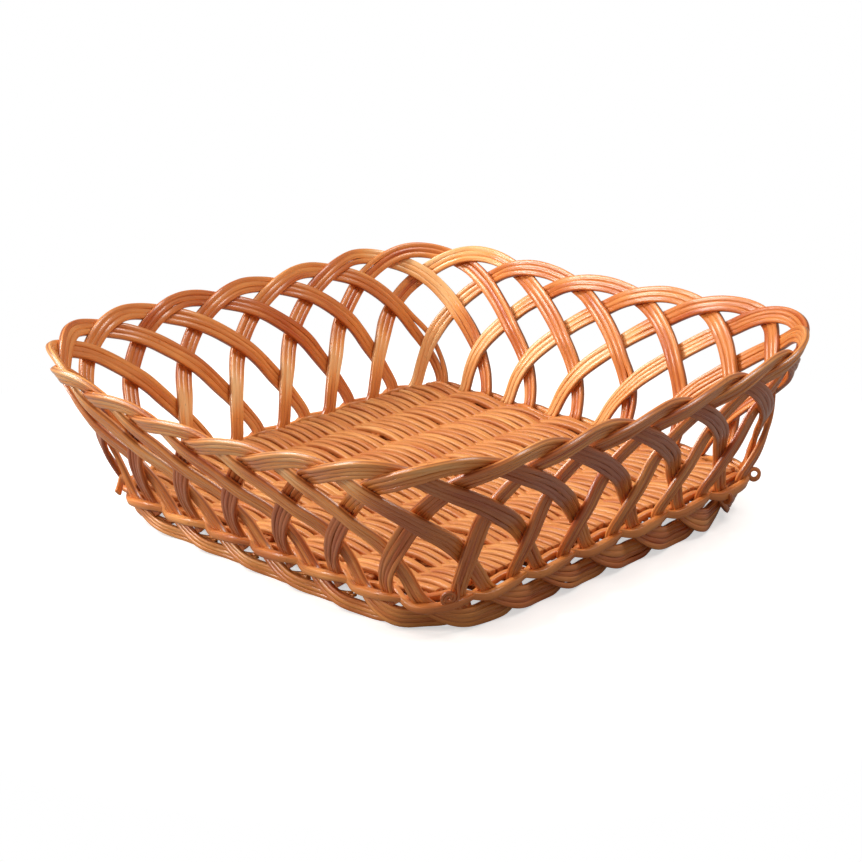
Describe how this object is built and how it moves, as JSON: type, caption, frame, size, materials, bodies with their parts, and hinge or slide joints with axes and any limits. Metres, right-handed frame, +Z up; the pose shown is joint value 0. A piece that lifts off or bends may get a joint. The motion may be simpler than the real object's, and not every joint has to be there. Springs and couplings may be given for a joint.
{
  "type": "wicker basket",
  "caption": "Square open wicker basket with arched, interlaced lattice walls that flare outward, a woven mat base and a scalloped foot.",
  "frame": {"origin": "middle of the footprint, on the surface that the foot stands on", "axes": "+Z up, X and Y along the sides of the square; the mat's rods run along X"},
  "size_m": [0.2591, 0.2549, 0.0842],
  "materials": {
    "loop_wicker": "varnished honey-brown wicker, soft gloss",
    "mat_wicker": "varnished honey-orange wicker, soft gloss",
    "stake_wicker": "varnished brown wicker",
    "twine_wicker": "varnished honey-brown wicker, soft gloss"
  },
  "bodies": {
    "root": {"wall_loop_01": "loop_wicker", "wall_loop_02": "loop_wicker", "wall_loop_03": "loop_wicker", "wall_loop_04": "loop_wicker", "wall_loop_05": "loop_wicker", "wall_loop_06": "loop_wicker", "wall_loop_07": "loop_wicker", "wall_loop_08": "loop_wicker", "wall_loop_09": "loop_wicker", "wall_loop_10": "loop_wicker", "wall_loop_11": "loop_wicker", "wall_loop_12": "loop_wicker", "wall_loop_13": "loop_wicker", "wall_loop_14": "loop_wicker", "wall_loop_15": "loop_wicker", "wall_loop_16": "loop_wicker", "wall_loop_17": "loop_wicker", "wall_loop_18": "loop_wicker", "wall_loop_19": "loop_wicker", "wall_loop_20": "loop_wicker", "wall_loop_21": "loop_wicker", "wall_loop_22": "loop_wicker", "wall_loop_23": "loop_wicker", "wall_loop_24": "loop_wicker", "wall_loop_25": "loop_wicker", "wall_loop_26": "loop_wicker", "wall_loop_27": "loop_wicker", "base_stake_1": "stake_wicker", "base_stake_2": "stake_wicker", "base_stake_3": "stake_wicker", "base_stake_4": "stake_wicker", "base_stake_5": "stake_wicker", "base_stake_6": "stake_wicker", "base_stake_7": "stake_wicker", "base_band_01": "mat_wicker", "base_band_02": "mat_wicker", "base_band_03": "mat_wicker", "base_band_04": "mat_wicker", "base_band_05": "mat_wicker", "base_band_06": "mat_wicker", "base_band_07": "mat_wicker", "base_band_08": "mat_wicker", "base_band_09": "mat_wicker", "base_band_10": "mat_wicker", "base_band_11": "mat_wicker", "base_band_12": "mat_wicker", "base_band_13": "mat_wicker", "base_twine": "twine_wicker"}
  },
  "joints": []
}
